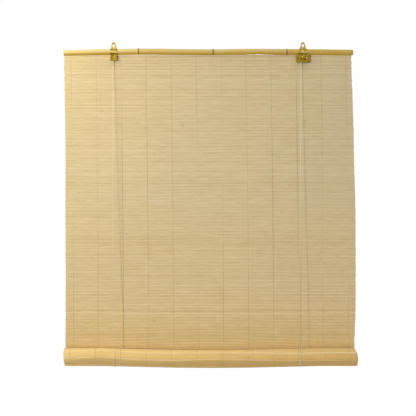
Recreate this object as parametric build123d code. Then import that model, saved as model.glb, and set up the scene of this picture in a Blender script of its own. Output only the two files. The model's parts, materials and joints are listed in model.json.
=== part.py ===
from build123d import *
import os
from math import acos, atan2, cos, degrees, hypot, pi, radians, sin

# Bamboo roll-up blind: a split-bamboo mat hung from a cane, partly rolled up at its foot.
# X runs along the cane, the front faces -Y and +Z is up.
# The origin is midway between the two hanging eyes, in the middle of their sheet.

# Head rod: a bamboo cane with three raised joints
rod_length = 900.0
rod_d = 18.0
rod_joint_rise = 0.8
rod_joint_land = 3.0
rod_joint_flank = 4.0
rod_joint_shares = (-0.37, 0.0245, 0.415)
rod_bore_d = 6.0
rod_diaphragm = 12.0

# Reed mat: split-bamboo splints side by side, with open gaps between some of them
mat_inset = 3.0
mat_thickness = 2.6
mat_web_share = 0.4
splint_pitch = 4.6
gap_rows = 10
gap_height = 0.9
gap_margin = 7.0

# Warp threads that bind the splints and loop over the rod
warp_count = 12
warp_inset = 19.1
warp_width = 1.2
warp_thickness = 0.6
warp_facets = 7
warp_facet_angle = 45.0
warp_stop_share = 0.2

# Roll at the foot of the mat and the thin cane that it is wound on
roll_drop = 944.0
roll_overhang = 3.0
roll_d = 58.0
roll_turn_gap = 0.6
bottom_rod_inset = 2.0
bottom_rod_d = 12.0

# Stamped brass hangers: an eye tab, a saddle over the rod and a flat plate below it
sheet = 1.0
eye_from_rod_end = 156.0
eye_d = 8.0
eye_wall = 3.2
eye_above_rod = 19.0
tab_rise = 12.0
saddle_angle = 60.0
saddle_reach = 3.5
left_saddle_width = 22.0
right_saddle_width = 25.0
bend_r = 1.2
corner_r = 2.0

# Pulley housing on the left and cord lock on the right, folded from the same sheet
housing_below_rod = 0.8
left_plate_width = 21.0
left_plate_height = 18.5
lock_plate_width = 39.6
lock_plate_height = 24.0
lock_notch_width = 18.0
lock_notch_depth = 4.0
lock_notch_from_edge = 3.0

# Grooved wheels
wheel_below_rod = 8.5
wheel_d = 12.0
groove_root_d = 7.6
groove_root_width = 2.0
groove_mouth_width = 2.9
rim_width = 0.35
left_wheel_from_eye = 2.6
lock_wheel_from_eye = -1.8

# Locking roller and the post that it pinches the cords against
roller_d = 5.2
roller_journal_d = 2.6
roller_from_wheel = 7.4
roller_below_wheel = 4.8
roller_lean = 15.0
roller_travel = 5.0
roller_slot_above = 9.5
roller_flutes = 12
post_d = 4.0
pinch_angle = 20.0

# Rivets, bolts, washers and nuts
rivet_d = 3.0
rivet_head_d = 5.2
rivet_head_height = 1.0
rivet_tail_height = 0.7
head_top_share = 0.6
bolt_d = 4.0
bolt_head_d = 7.6
bolt_head_height = 2.2
bolt_end = 1.5
washer_d = 10.0
washer_thickness = 1.0
nut_flats = 7.0
nut_thickness = 3.2

# Lift cords
cord_d = 1.8
cord_sides = 6
left_sling_from_eye = 7.0
right_sling_from_eye = -19.0
tie_knot_length = 4.5
lock_knot_d = 3.8
lock_knot_below_roller = 7.4
lock_knot_overhang = 0.6

# Clearances: soft pieces, cords in grooves, running fits and holes for fixed shanks
soft_clearance = 0.3
cord_clearance = 0.15
running_clearance = 0.05
fixed_clearance = 0.05
side_clearance = 0.3
journal_clearance = 0.15
saddle_clearance = 0.25
overrun = 5.0

# Places worked out from the sizes above
rod_r = rod_d / 2
cord_r = cord_d / 2
saddle_r = rod_r + saddle_clearance
rod_y = saddle_r * cos(radians(saddle_angle)) + sheet / 2
rod_z = -eye_above_rod
rod_bottom = rod_z - rod_r
eye_spacing = rod_length - 2 * eye_from_rod_end
left_x = -eye_spacing / 2
right_x = eye_spacing / 2

roll_z = rod_z - roll_drop
roll_mid_r = roll_d / 2 - mat_thickness / 2
roll_y = rod_y - roll_mid_r
turn_pitch = mat_thickness + roll_turn_gap
core_r = bottom_rod_d / 2 + soft_clearance + mat_thickness / 2

mat_width = rod_length - 2 * mat_inset
warp_pitch = (mat_width - 2 * warp_inset) / (warp_count - 1)
roll_length = mat_width + 2 * roll_overhang
bottom_rod_length = mat_width - 2 * bottom_rod_inset
mat_top = rod_bottom - rod_joint_rise - soft_clearance
mat_bottom = roll_z + soft_clearance
mat_height = mat_top - mat_bottom
splint_count = round(mat_height / splint_pitch)
splint_step = mat_height / splint_count
warp_bottom = roll_z + roll_d * warp_stop_share

plate_front = -sheet / 2
plate_back = sheet / 2
housing_top = rod_bottom - housing_below_rod
left_bottom = housing_top - left_plate_height
lock_bottom = housing_top - lock_plate_height

groove_width = groove_mouth_width + 2 * rim_width
groove_step = groove_mouth_width + rim_width
rear_groove_y = plate_front - side_clearance - groove_width / 2
front_groove_y = rear_groove_y - groove_step
left_front = rear_groove_y - groove_width / 2 - side_clearance
lock_front = front_groove_y - groove_width / 2 - side_clearance

wheel_z = rod_bottom - wheel_below_rod
wheel_cord_r = groove_root_d / 2 + cord_clearance + cord_r
left_wheel_x = left_x + left_wheel_from_eye
lock_wheel_x = right_x + lock_wheel_from_eye
cord_top_z = wheel_z + wheel_cord_r

roller_x = lock_wheel_x + roller_from_wheel
roller_z = wheel_z - roller_below_wheel
roller_cord_r = roller_d / 2 + cord_clearance + cord_r
post_reach = roller_d / 2 + 2 * cord_clearance + cord_d + post_d / 2
post_x = roller_x + post_reach * cos(radians(pinch_angle))
post_z = roller_z + post_reach * sin(radians(pinch_angle))
slot_width = roller_journal_d + 2 * journal_clearance
lock_knot_z = roller_z - lock_knot_below_roller

left_cord_x = left_wheel_x - wheel_cord_r
right_cord_x = lock_wheel_x - wheel_cord_r
left_sling_x = left_x + left_sling_from_eye
right_sling_x = right_x + right_sling_from_eye
sling_r = roll_d / 2 + soft_clearance + cord_r
tie_y = rod_y + rod_r + soft_clearance + cord_r
washer_y = tie_y + cord_r + soft_clearance
nut_y = washer_y + washer_thickness
bolt_tip_y = nut_y + nut_thickness + bolt_end
tie_ring_r = bolt_d / 2 + fixed_clearance
tie_bottom = rod_z - tie_ring_r - cord_d - tie_knot_length


def yz_prism(points, length):
    """Solid of one outline of (y, z) points, drawn out along X about the middle."""
    outline = Plane.YZ * make_face(Polyline(*points, close=True))
    return extrude(outline, amount=length / 2, both=True)


def cross_cut(x, z, diameter, y_front, y_back):
    """Round bar along Y."""
    bar = Cylinder(diameter / 2, y_back - y_front)
    return Pos(x, (y_front + y_back) / 2, z) * Rot(90, 0, 0) * bar


def turned(points, x, z):
    """Turned piece about an axis along Y, from (radius, y) points."""
    return Pos(x, 0, z) * revolve(make_face(Polyline(*points, close=True)), Axis.Y)


def tube(edges):
    """Plain six-sided cord along a path of lines and tangent arcs."""
    path = Wire(edges)
    section = Plane(origin=path @ 0, z_dir=path % 0) * RegularPolygon(cord_r, cord_sides)
    return sweep(section, path=path)


def straight_cord(top, bottom):
    """Tight cord between two level cuts."""
    along = Vector(*bottom) - Vector(*top)
    section = Pos(*top) * RegularPolygon(cord_r, cord_sides)
    return extrude(section, amount=along.length, dir=along.normalized())


# Head rod
def head_rod():
    rod_end = rod_length / 2
    joints = [share * eye_spacing for share in rod_joint_shares]
    joint_r = rod_r + rod_joint_rise
    points = [(-rod_end, 0), (-rod_end, rod_r)]
    for x in joints:
        land = rod_joint_land / 2
        foot = land + rod_joint_flank
        points += [(x - foot, rod_r), (x - land, joint_r), (x + land, joint_r), (x + foot, rod_r)]
    points += [(rod_end, rod_r), (rod_end, 0)]
    cane = revolve(Plane.XZ * make_face(Polyline(*points, close=True)), Axis.X)
    left_depth = joints[0] + rod_end - rod_diaphragm
    right_depth = rod_end - joints[-1] - rod_diaphragm
    bore = Rot(0, 90, 0) * Cylinder(rod_bore_d / 2, left_depth)
    cane -= Pos(-rod_end + left_depth / 2, 0, 0) * bore
    bore = Rot(0, 90, 0) * Cylinder(rod_bore_d / 2, right_depth)
    cane -= Pos(rod_end - right_depth / 2, 0, 0) * bore
    cane = Pos(0, rod_y, rod_z) * cane
    for x in (left_x, right_x):
        hole_d = bolt_d + 2 * fixed_clearance
        cane -= cross_cut(x, rod_z, hole_d, rod_y - rod_d, rod_y + rod_d)
    return cane


# Reed mat: a ridge for each splint and rows of gaps between the warps
def reed_mat():
    crest = mat_thickness / 2
    valley = crest * mat_web_share
    front = [(rod_y - valley, mat_top)]
    back = [(rod_y + valley, mat_top)]
    for row in range(splint_count):
        z = mat_top - row * splint_step
        front += [(rod_y - crest, z - splint_step / 2), (rod_y - valley, z - splint_step)]
        back += [(rod_y + crest, z - splint_step / 2), (rod_y + valley, z - splint_step)]
    mat = yz_prism(front + back[::-1], mat_width)
    gap = Box(warp_pitch - 2 * gap_margin, 2 * mat_thickness, gap_height)
    bays = warp_count - 1
    rows_apart = splint_count // gap_rows
    first_row = rows_apart // 2
    gaps = []
    for row in range(gap_rows):
        z = mat_top - (first_row + row * rows_apart) * splint_step
        for bay in range(bays):
            x = (bay - (bays - 1) / 2) * warp_pitch
            gaps.append(Pos(x, rod_y, z) * gap)
    return mat - gaps


# Warp threads
def warp_outline(offset):
    """Hairpin that runs down both faces of the mat and over the rod, at one distance from them."""
    side = mat_thickness / 2 + offset
    loop_r = rod_r + offset
    facet = radians(warp_facet_angle)
    first = pi / 2 + facet * (warp_facets - 1) / 2
    run_top = (loop_r + cos(first) * side) / sin(first)
    knee_r = loop_r / cos(facet / 2)
    turns = [first - facet * (i + 1 / 2) for i in range(warp_facets - 1)]
    loop = [(rod_y + knee_r * cos(a), rod_z + knee_r * sin(a)) for a in turns]
    down_front = [(rod_y - side, warp_bottom), (rod_y - side, rod_z + run_top)]
    down_back = [(rod_y + side, rod_z + run_top), (rod_y + side, warp_bottom)]
    return down_front + loop + down_back


def warp_threads():
    outer = warp_outline(soft_clearance + warp_thickness)
    inner = warp_outline(soft_clearance)
    thread = yz_prism(outer + inner[::-1], warp_width)
    places = [(i - (warp_count - 1) / 2) * warp_pitch for i in range(warp_count)]
    return Compound(children=[Pos(x, 0, 0) * thread for x in places])


# Hangers
def saddle_profile(bottom):
    """Side view of the strap: tab, half-round saddle and plate, all of one thickness."""
    reach = 2 * (saddle_r + sheet)
    flats = Pos(0, (tab_rise + bottom) / 2) * Rectangle(sheet, tab_rise - bottom)
    crown = Pos(rod_y, rod_z) * Circle(saddle_r + sheet)
    crown -= Pos(plate_back + reach / 2, rod_z) * Rectangle(reach, reach)
    profile = flats + crown - Pos(rod_y, rod_z) * Circle(saddle_r)
    front_corners = profile.vertices().filter_by_position(
        Axis.X, plate_front - fixed_clearance, plate_front + fixed_clearance
    )
    return fillet(front_corners.sort_by(Axis.Y)[1:-1], bend_r)


def hanger_outline(saddle_width, plate_width, bottom):
    """Front view of the strap: pointed arch, shoulders, saddle and plate."""
    arch_width = eye_d + 2 * eye_wall
    arch_r = (tab_rise**2 + (arch_width / 2)**2) / arch_width
    arch_shift = arch_r - arch_width / 2
    arch = (Pos(arch_shift, 0) * Circle(arch_r)) & (Pos(-arch_shift, 0) * Circle(arch_r))
    arch &= Pos(0, tab_rise / 2) * Rectangle(arch_width, tab_rise)
    shoulder = rod_z + rod_r - saddle_reach
    plate_top = rod_bottom
    neck = make_face(
        Polyline(
            (-arch_width / 2, 0),
            (arch_width / 2, 0),
            (saddle_width / 2, shoulder),
            (-saddle_width / 2, shoulder),
            close=True,
        )
    )
    saddle = Pos(0, (shoulder + plate_top) / 2) * Rectangle(saddle_width, shoulder - plate_top)
    plate = Pos(0, (plate_top + bottom) / 2) * Rectangle(plate_width, plate_top - bottom)
    plate = fillet(plate.vertices().group_by(Axis.Y)[0], corner_r)
    return arch + neck + saddle + plate


def hanger(x, saddle_width, plate_width, bottom):
    widest = max(saddle_width, plate_width)
    strap = extrude(Plane.YZ * saddle_profile(bottom), amount=widest, both=True)
    outline = Plane.XZ * hanger_outline(saddle_width, plate_width, bottom)
    strap &= extrude(outline, amount=rod_d, both=True)
    strap = Pos(x, 0, 0) * strap
    strap -= cross_cut(x, 0, eye_d, -overrun, overrun)
    strap -= cross_cut(x, rod_z, bolt_d + 2 * fixed_clearance, rod_y - rod_d, rod_y)
    return strap


def rivet_hole(x, z):
    hole_d = rivet_d + 2 * fixed_clearance
    return cross_cut(x, z, hole_d, lock_front - overrun, plate_back + overrun)


def roller_slot():
    """Leaning slot for the roller's journals, open at its top for putting the roller in."""
    lean = radians(roller_lean)
    low = (roller_x - roller_travel * sin(lean), roller_z - roller_travel * cos(lean))
    high = (roller_x + roller_slot_above * sin(lean), roller_z + roller_slot_above * cos(lean))
    middle = ((low[0] + high[0]) / 2, (low[1] + high[1]) / 2)
    slot = SlotCenterToCenter(roller_travel + roller_slot_above, slot_width)
    slot = Plane.XZ * (Pos(*middle) * Rot(0, 0, 90 - roller_lean) * slot)
    return extrude(slot, amount=-lock_front + overrun, both=True)


def left_hanger():
    strap = hanger(left_x, left_saddle_width, left_plate_width, left_bottom)
    return strap - rivet_hole(left_wheel_x, wheel_z)


def right_hanger():
    strap = hanger(right_x, right_saddle_width, lock_plate_width, lock_bottom)
    strap -= rivet_hole(lock_wheel_x, wheel_z)
    strap -= rivet_hole(post_x, post_z)
    return strap - roller_slot()


# Housings
def channel(x, width, inner_front, bottom):
    """Folded channel, open at its top, foot and back, that butts against the hanger's plate."""
    depth = plate_front - inner_front
    outer = Pos(0, (plate_front + inner_front - sheet) / 2) * Rectangle(width, depth + sheet)
    outer = fillet(outer.vertices().group_by(Axis.Y)[0], bend_r)
    inner = Pos(0, inner_front + depth / 2) * Rectangle(width - 2 * sheet, depth)
    folded = extrude(Plane.XY * (outer - inner), amount=housing_top - bottom)
    return Pos(x, 0, bottom) * folded


def cord_notch(x):
    """Cut in a side flange, from its top edge down past the cord."""
    floor = cord_top_z - cord_r - side_clearance
    height = housing_top + overrun - floor
    cut = Box(4 * sheet, cord_d + 2 * side_clearance, height)
    return Pos(x, rear_groove_y, floor + height / 2) * cut


def left_pulley_housing():
    folded = channel(left_x, left_plate_width, left_front, left_bottom)
    folded -= cord_notch(left_x + left_plate_width / 2)
    return folded - rivet_hole(left_wheel_x, wheel_z)


def lock_housing():
    folded = channel(right_x, lock_plate_width, lock_front, lock_bottom)
    folded -= cord_notch(right_x - lock_plate_width / 2)
    notch_x = right_x + lock_plate_width / 2 - lock_notch_from_edge - lock_notch_width / 2
    notch = Box(lock_notch_width, 4 * sheet, 2 * lock_notch_depth)
    folded -= Pos(notch_x, lock_front - sheet / 2, housing_top) * notch
    folded -= rivet_hole(lock_wheel_x, wheel_z)
    folded -= rivet_hole(post_x, post_z)
    return folded - roller_slot()


# Wheels and roller
def wheel(x, grooves):
    """Grooved wheel on its rivet, from a list of groove middles along Y."""
    bore_r = rivet_d / 2 + running_clearance
    rim_r = wheel_d / 2
    root_r = groove_root_d / 2
    back = max(grooves) + groove_width / 2
    front = min(grooves) - groove_width / 2
    points = [(bore_r, back), (rim_r, back)]
    for y in sorted(grooves, reverse=True):
        points += [
            (rim_r, y + groove_mouth_width / 2),
            (root_r, y + groove_root_width / 2),
            (root_r, y - groove_root_width / 2),
            (rim_r, y - groove_mouth_width / 2),
        ]
    points += [(rim_r, front), (bore_r, front)]
    return turned(points, x, wheel_z)


def lock_roller():
    """Fluted roller with two plain journals that ride in the leaning slots."""
    body_front = lock_front + side_clearance
    body_back = plate_front - side_clearance
    barrel = Plane.XZ * RegularPolygon(roller_d / 2, roller_flutes)
    barrel = Pos(roller_x, body_back, roller_z) * extrude(barrel, amount=body_back - body_front)
    journal_front = lock_front - sheet
    journal = cross_cut(roller_x, roller_z, roller_journal_d, journal_front, plate_back)
    return barrel + journal


# Fasteners
def rivet(x, z, front, body_d):
    """Rivet through both walls, with a domed front head, a flat tail and a body between the walls."""
    head_r = rivet_head_d / 2
    shank_r = rivet_d / 2
    outer_front = front - sheet
    points = [
        (0, outer_front - rivet_head_height),
        (head_r * head_top_share, outer_front - rivet_head_height),
        (head_r, outer_front),
        (shank_r, outer_front),
        (shank_r, front),
    ]
    if body_d > rivet_d:
        points += [(body_d / 2, front), (body_d / 2, plate_front), (shank_r, plate_front)]
    points += [(shank_r, plate_back), (head_r, plate_back)]
    points += [(head_r, plate_back + rivet_tail_height), (0, plate_back + rivet_tail_height)]
    return turned(points, x, z)


def hanger_bolt(x):
    """Round-headed bolt through the saddle's crown and the rod."""
    seat = rod_y - saddle_r - sheet
    head_r = bolt_head_d / 2
    points = [
        (0, seat - bolt_head_height),
        (head_r * head_top_share, seat - bolt_head_height),
        (head_r, seat - bolt_head_height / 2),
        (head_r, seat),
        (bolt_d / 2, seat),
        (bolt_d / 2, bolt_tip_y),
        (0, bolt_tip_y),
    ]
    return turned(points, x, rod_z)


def hanger_washer(x):
    hole_r = bolt_d / 2 + fixed_clearance
    points = [(hole_r, washer_y), (washer_d / 2, washer_y), (washer_d / 2, nut_y), (hole_r, nut_y)]
    return turned(points, x, rod_z)


def hanger_nut(x):
    hexagon = RegularPolygon(nut_flats / 2, 6, major_radius=False)
    hexagon -= Circle(bolt_d / 2 + fixed_clearance)
    return Pos(x, nut_y, rod_z) * extrude(Plane.XZ * hexagon, amount=-nut_thickness)


# Roll and its core
def rolled_mat():
    """Spiral of flat splints, from the foot of the hanging mat inwards to the bottom rod."""
    outer = []
    inner = []
    turn = 0.0
    radius = roll_mid_r
    while radius > core_r:
        y = cos(turn)
        z = -sin(turn)
        reach = radius + mat_thickness / 2
        outer.append((roll_y + reach * y, roll_z + reach * z))
        reach = radius - mat_thickness / 2
        inner.append((roll_y + reach * y, roll_z + reach * z))
        turn += splint_pitch / radius
        radius = roll_mid_r - turn_pitch * turn / (2 * pi)
    return yz_prism(outer + inner[::-1], roll_length)


def bottom_rod():
    cane = Rot(0, 90, 0) * Cylinder(bottom_rod_d / 2, bottom_rod_length)
    return Pos(0, roll_y, roll_z) * cane


# Lift cords
def cord_sling(x):
    """Half ring of cord under the roll."""
    front = (x, roll_y - sling_r, roll_z)
    lowest = (x, roll_y, roll_z - sling_r)
    back = (x, roll_y + sling_r, roll_z)
    return tube([ThreePointArc(front, lowest, back)])


def cord_front(top_x, top_y, sling_x):
    return straight_cord((top_x, top_y, wheel_z), (sling_x, roll_y - sling_r, roll_z))


def cord_back(top_x, sling_x):
    return straight_cord((top_x, tie_y, tie_bottom), (sling_x, roll_y + sling_r, roll_z))


def cord_tie(x):
    """Cord end looped round the bolt behind the rod, with its knot below."""
    ring = turned(
        [
            (tie_ring_r, tie_y - cord_r),
            (tie_ring_r + cord_d, tie_y - cord_r),
            (tie_ring_r + cord_d, tie_y + cord_r),
            (tie_ring_r, tie_y + cord_r),
        ],
        x,
        rod_z,
    )
    top = rod_z - tie_ring_r - cord_r
    knot = extrude(RegularPolygon(cord_r + soft_clearance, cord_sides), amount=top - tie_bottom)
    return ring + Pos(x, tie_y, tie_bottom) * knot


def lock_path(y):
    """Edges from the top of the lock's wheel, over the roller and down to the knot."""
    gap = hypot(roller_x - lock_wheel_x, roller_z - wheel_z)
    slope = atan2(roller_z - wheel_z, roller_x - lock_wheel_x)
    leave = slope + acos((wheel_cord_r - roller_cord_r) / gap)

    def on_wheel(angle):
        return (lock_wheel_x + wheel_cord_r * cos(angle), y, wheel_z + wheel_cord_r * sin(angle))

    def on_roller(angle):
        return (roller_x + roller_cord_r * cos(angle), y, roller_z + roller_cord_r * sin(angle))

    top = on_wheel(pi / 2)
    off_wheel = on_wheel(leave)
    to_roller = on_roller(leave)
    off_roller = on_roller(0)
    end = (off_roller[0], y, lock_knot_z + lock_knot_d / 2)
    return [
        ThreePointArc(top, on_wheel((pi / 2 + leave) / 2), off_wheel),
        Line(off_wheel, to_roller),
        ThreePointArc(to_roller, on_roller(leave / 2), off_roller),
        Line(off_roller, end),
    ]


def quarter_over(x, y):
    """Quarter turn from a wheel's left side to its top."""
    side = (x - wheel_cord_r, y, wheel_z)
    half = wheel_cord_r * sin(pi / 4)
    top = (x, y, cord_top_z)
    return ThreePointArc(side, (x - half, y, wheel_z + half), top)


def transfer_cord():
    """Left cord over its wheel, along under the rod and through the lock."""
    along = Line((left_wheel_x, rear_groove_y, cord_top_z), (lock_wheel_x, rear_groove_y, cord_top_z))
    return tube([quarter_over(left_wheel_x, rear_groove_y), along] + lock_path(rear_groove_y))


def lock_cord():
    """Right cord over the lock's wheel and past the roller."""
    return tube([quarter_over(lock_wheel_x, front_groove_y)] + lock_path(front_groove_y))


def lock_knot():
    """Knot that joins the ends of both cords under the roller."""
    half = groove_step / 2 + cord_r + lock_knot_overhang
    middle = (rear_groove_y + front_groove_y) / 2
    outline = Plane.XZ * RegularPolygon(lock_knot_d / 2, cord_sides, rotation=180 / cord_sides)
    return Pos(roller_x + roller_cord_r, middle, lock_knot_z) * extrude(outline, amount=half, both=True)


def pair(make):
    """The same small piece at both hangers."""
    return Compound(children=[make(left_x), make(right_x)])


nodes = {
    "head_rod": head_rod(),
    "reed_mat": reed_mat(),
    "warp_threads": warp_threads(),
    "left_hanger": left_hanger(),
    "right_hanger": right_hanger(),
    "hanger_bolts": pair(hanger_bolt),
    "hanger_washers": pair(hanger_washer),
    "hanger_nuts": pair(hanger_nut),
    "left_pulley_housing": left_pulley_housing(),
    "left_pulley_wheel": wheel(left_wheel_x, [rear_groove_y]),
    "left_axle_rivet": rivet(left_wheel_x, wheel_z, left_front, rivet_d),
    "lock_housing": lock_housing(),
    "lock_pulley": wheel(lock_wheel_x, [rear_groove_y, front_groove_y]),
    "lock_axle_rivet": rivet(lock_wheel_x, wheel_z, lock_front, rivet_d),
    "lock_post": rivet(post_x, post_z, lock_front, post_d),
    "lock_roller": lock_roller(),
    "rolled_mat": rolled_mat(),
    "bottom_rod": bottom_rod(),
    "left_cord_front": cord_front(left_cord_x, rear_groove_y, left_sling_x),
    "right_cord_front": cord_front(right_cord_x, front_groove_y, right_sling_x),
    "left_cord_sling": cord_sling(left_sling_x),
    "right_cord_sling": cord_sling(right_sling_x),
    "left_cord_back": cord_back(left_x, left_sling_x),
    "right_cord_back": cord_back(right_x, right_sling_x),
    "left_cord_tie": cord_tie(left_x),
    "right_cord_tie": cord_tie(right_x),
    "transfer_cord": transfer_cord(),
    "lock_cord": lock_cord(),
    "lock_knot": lock_knot(),
}

os.makedirs("parts", exist_ok=True)
for name, shape in nodes.items():
    export_step(shape, f"parts/{name}.step")

print("cord arc radii: sling", sling_r, "wheel", wheel_cord_r, "roller", roller_cord_r)
print("roll axis", roll_y, roll_z, "roller slide", sin(radians(roller_lean)), cos(radians(roller_lean)))
print("wheel axes", left_wheel_x, lock_wheel_x, wheel_z, "turning radius", wheel_cord_r)
print("splints hanging", splint_count, "lean", degrees(atan2(roll_y - sling_r - rear_groove_y, roll_drop)))
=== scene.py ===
import bmesh
import bpy
import json
from math import atan2, cos, pi, radians, sin, tan
from mathutils import Matrix, Vector
from random import Random


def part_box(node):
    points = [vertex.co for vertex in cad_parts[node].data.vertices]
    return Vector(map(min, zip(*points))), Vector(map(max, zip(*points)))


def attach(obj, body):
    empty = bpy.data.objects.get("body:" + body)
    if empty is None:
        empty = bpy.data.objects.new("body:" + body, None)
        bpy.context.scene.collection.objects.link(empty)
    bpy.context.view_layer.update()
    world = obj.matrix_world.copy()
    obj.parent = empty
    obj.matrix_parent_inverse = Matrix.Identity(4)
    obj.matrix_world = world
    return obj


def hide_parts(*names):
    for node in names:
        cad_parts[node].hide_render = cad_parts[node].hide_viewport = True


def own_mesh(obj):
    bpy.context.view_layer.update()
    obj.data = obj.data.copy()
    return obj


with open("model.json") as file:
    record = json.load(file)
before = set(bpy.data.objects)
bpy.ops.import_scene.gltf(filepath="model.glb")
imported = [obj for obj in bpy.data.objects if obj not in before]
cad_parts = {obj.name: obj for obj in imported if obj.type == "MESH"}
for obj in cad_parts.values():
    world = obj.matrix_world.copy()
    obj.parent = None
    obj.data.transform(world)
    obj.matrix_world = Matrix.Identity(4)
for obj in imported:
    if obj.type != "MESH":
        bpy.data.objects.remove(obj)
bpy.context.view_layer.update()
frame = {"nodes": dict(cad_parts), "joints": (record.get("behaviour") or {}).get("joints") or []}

# Head rod: a length of bamboo cane, sawn square at both ends, with a raised scar ring at each joint.
# It grew a little crooked, so it rises and dips by a couple of millimetres between its two hangers.
rod_low, rod_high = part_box("head_rod")
rod_y = (rod_low.y + rod_high.y) / 2
rod_z = (rod_low.z + rod_high.z) / 2
joint_rise = 0.0008
rod_r = (rod_high.z - rod_low.z) / 2 - joint_rise
rod_bore_r = 0.003
rod_bore_depth = 0.2
rod_edge = 0.0004
rod_ring_gap = 0.012
rod_steps = 40
left_low, left_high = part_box("left_hanger")
right_low, right_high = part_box("right_hanger")
left_eye_x = (left_low.x + left_high.x) / 2
right_eye_x = (right_low.x + right_high.x) / 2
eye_spacing = right_eye_x - left_eye_x
joint_shares = (-0.37, 0.0245, 0.415)
rod_joints = [share * eye_spacing for share in joint_shares]
# One joint seen from the side: distance along the cane, share of the rise, and how dark the scar is
joint_form = [
    (-0.0085, 0.0, 0.0),
    (-0.0045, 0.15, 0.0),
    (-0.0022, 0.6, 0.15),
    (-0.0012, 0.95, 0.9),
    (0.0, 0.35, 1.0),
    (0.0011, 1.0, 1.0),
    (0.0024, 0.65, 0.25),
    (0.005, 0.2, 0.0),
    (0.009, 0.0, 0.0),
]
# The crook: places along the cane and how far it stands above its straight line there
rod_crook = [
    (rod_low.x, -0.0024),
    (left_eye_x, 0.0),
    (rod_joints[0], 0.0018),
    (rod_joints[1], -0.0005),
    (0.13, 0.0012),
    (right_eye_x, 0.0),
    (rod_high.x, -0.0016),
]


def ease(t):
    """Smooth step from 0 to 1."""
    t = min(max(t, 0.0), 1.0)
    return t * t * (3 - 2 * t)


def along_list(stops, at):
    """Values between the stops of a list, eased from each to the next."""
    for (x0, *v0), (x1, *v1) in zip(stops, stops[1:]):
        if at <= x1:
            share = ease((at - x0) / (x1 - x0))
            return [a + (b - a) * share for a, b in zip(v0, v1)]
    return stops[-1][1:]


def rod_lift(x):
    """Height of the crooked cane's middle above its straight line."""
    return along_list(rod_crook, x)[0]


def linear(hex_colour):
    """Linear RGBA of an sRGB hex colour."""
    parts = [int(hex_colour[i:i + 2], 16) / 255 for i in (1, 3, 5)]
    return [p / 12.92 if p <= 0.04045 else ((p + 0.055) / 1.055) ** 2.4 for p in parts] + [1.0]


def add_node(owner, kind, inputs=None, **settings):
    """Adds one shader node: settings are its properties, inputs its values or the sockets linked to it."""
    tree = owner.node_tree
    node = tree.nodes.new(kind)
    for name, value in settings.items():
        setattr(node, name, value)
    for name, value in (inputs or {}).items():
        if isinstance(value, bpy.types.NodeSocket):
            tree.links.new(value, node.inputs[name])
        else:
            node.inputs[name].default_value = value
    return node


def new_finish(name, **constants):
    """A material and its shader, with the values that are the same all over it, such as roughness."""
    material = bpy.data.materials.new(name)
    material.use_nodes = True
    shader = material.node_tree.nodes["Principled BSDF"]
    for socket, value in constants.items():
        shader.inputs[socket.replace("_", " ")].default_value = value
    return material, shader


def wire(material, shader, **sockets):
    """Links finished patterns to the shader's sockets."""
    for socket, output in sockets.items():
        material.node_tree.links.new(output, shader.inputs[socket.replace("_", " ")])


def make_piece(name, bm, material, body, nodes=(), sharp_angle=50):
    """Turns a bmesh into a piece that rides on a body and stands for the named CAD nodes."""
    bmesh.ops.recalc_face_normals(bm, faces=bm.faces[:])
    mesh = bpy.data.meshes.new(name)
    bm.to_mesh(mesh)
    bm.free()
    mesh.shade_smooth()
    mesh.set_sharp_from_angle(angle=radians(sharp_angle))
    mesh.materials.append(material)
    piece = bpy.data.objects.new(name, mesh)
    bpy.context.scene.collection.objects.link(piece)
    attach(piece, body)
    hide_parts(*nodes)
    return piece


# Bamboo cane keeps its waxy skin: golden straw with long fibres, deeper where it was heat-dried, and brown
# in the scars of its joints.
# Its upper side is painted paler as a highlight, most towards the left end.
cane, shader = new_finish("bamboo_cane", Roughness=0.36, IOR=1.5)
place = add_node(cane, "ShaderNodeTexCoord").outputs["Object"]
fibre_length = 0.11
fibre_width = 0.0011
fibre_place = add_node(
    cane,
    "ShaderNodeVectorMath",
    {0: place, 1: (1 / fibre_length, 1 / fibre_width, 1 / fibre_width)},
    operation="MULTIPLY",
)
fibres = add_node(
    cane, "ShaderNodeTexNoise", {"Vector": fibre_place.outputs["Vector"], "Scale": 1.0, "Detail": 3.0}
)
patch_length = 0.14
patches = add_node(cane, "ShaderNodeTexNoise", {"Vector": place, "Scale": 1 / patch_length, "Detail": 2.0})
straw = add_node(
    cane,
    "ShaderNodeMix",
    {0: fibres.outputs["Fac"], 6: linear("#C6A23C"), 7: linear("#DBBA52")},
    data_type="RGBA",
)
dried = add_node(
    cane,
    "ShaderNodeMapRange",
    {"Value": patches.outputs["Fac"], "From Min": 0.45, "From Max": 0.7, "To Max": 0.4},
)
golden = add_node(
    cane,
    "ShaderNodeMix",
    {0: dried.outputs["Result"], 6: straw.outputs[2], 7: linear("#C2962C")},
    data_type="RGBA",
)
# Painted highlight: the cane is paler on its upper side, most towards the left end
sunned = add_node(cane, "ShaderNodeAttribute", attribute_name="sunned")
skin_with_painted_light = add_node(
    cane,
    "ShaderNodeMix",
    {0: sunned.outputs["Fac"], 6: golden.outputs[2], 7: linear("#EFE0AE")},
    data_type="RGBA",
)
scar = add_node(cane, "ShaderNodeAttribute", attribute_name="scar")
skin = add_node(
    cane,
    "ShaderNodeMix",
    {0: scar.outputs["Fac"], 6: skin_with_painted_light.outputs[2], 7: linear("#845D24")},
    data_type="RGBA",
)
ripple = add_node(
    cane, "ShaderNodeBump", {"Height": fibres.outputs["Fac"], "Strength": 0.12, "Distance": 0.0004}
)
wire(cane, shader, Base_Color=skin.outputs[2], Normal=ripple.outputs["Normal"])

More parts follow.
